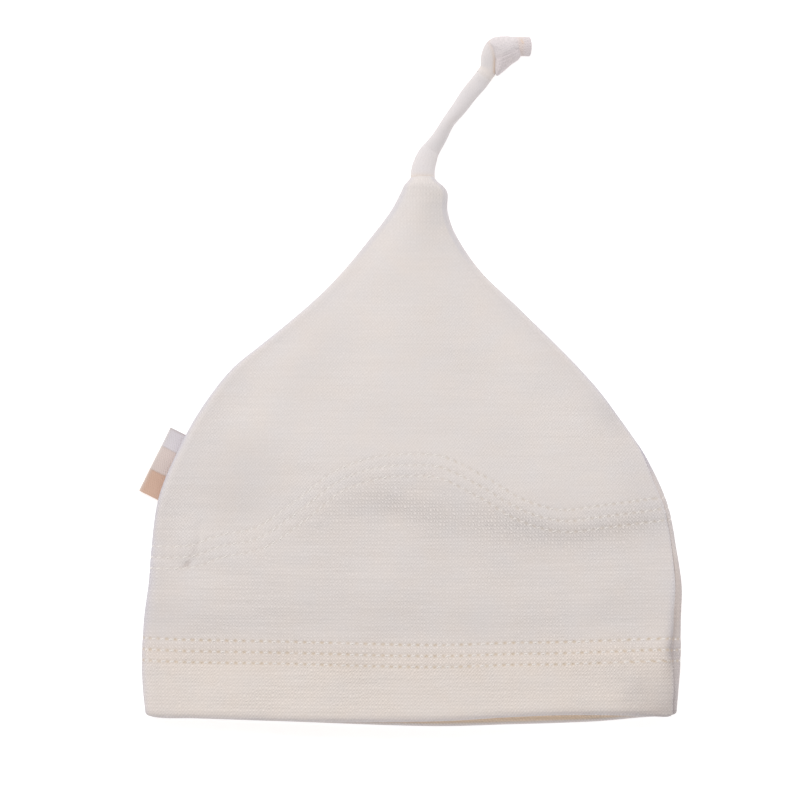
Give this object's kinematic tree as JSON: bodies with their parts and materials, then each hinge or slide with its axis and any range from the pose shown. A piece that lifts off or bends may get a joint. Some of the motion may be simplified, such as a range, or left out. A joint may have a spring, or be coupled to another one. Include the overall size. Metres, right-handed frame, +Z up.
{
  "type": "newborn hat",
  "caption": "Pointed knit hat for a newborn, lying flat, with a wavy seam, a turned-up hem, a side label and a knotted tail.",
  "frame": {"origin": "on the flat underside of the back crown panel, 75 mm above the front hem's fold", "axes": "the hat lies on its back: +Z up off the surface, +Y from the mouth to the tail, +X to the wearer's left of the front panel as it is seen from above"},
  "size_m": [0.1573, 0.2003, 0.014],
  "materials": {
    "cloth": "unbleached cotton interlock, fine and matt",
    "tail_cloth": "pale cotton jersey, fine and matt",
    "woven_tape": "woven tape in pale lilac, beige and tan blocks",
    "thread": "matt cream sewing thread"
  },
  "bodies": {
    "root": {"crown_front": "cloth", "crown_back": "cloth", "band_front": "cloth", "band_back": "cloth", "tail": "tail_cloth", "tail_knot": "tail_cloth", "label": "woven_tape"}
  },
  "joints": []
}
